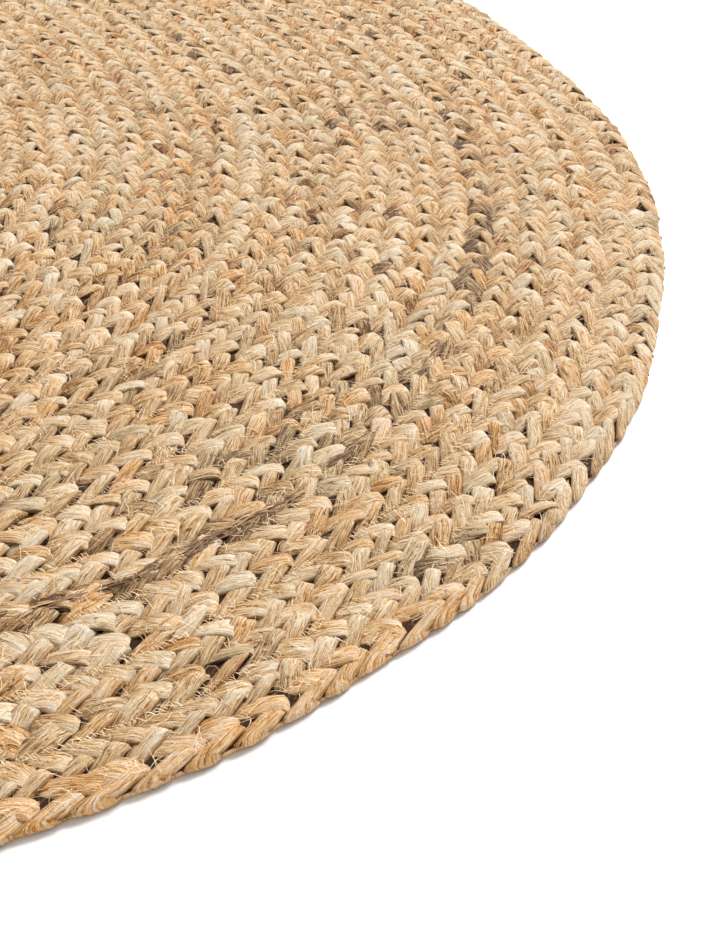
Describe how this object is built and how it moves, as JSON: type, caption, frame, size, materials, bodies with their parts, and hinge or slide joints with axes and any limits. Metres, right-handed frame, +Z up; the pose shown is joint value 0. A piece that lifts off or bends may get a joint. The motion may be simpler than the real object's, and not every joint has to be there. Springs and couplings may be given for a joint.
{
  "type": "oval braided jute rug",
  "caption": "Flat oval floor rug of undyed jute: two flat plaits wound side by side from a straight core and sewn row to row, with a flat underside.",
  "frame": {"origin": "centre of the rug's box, on the floor under its flat underside", "axes": "+Z up, out of the floor; +Y along the rug's length, the longest extent; +X across its width"},
  "size_m": [1.5, 1.9986, 0.009],
  "materials": {
    "jute": "matte undyed jute braid"
  },
  "bodies": {
    "root": {"braided_rug": "jute"}
  },
  "joints": []
}
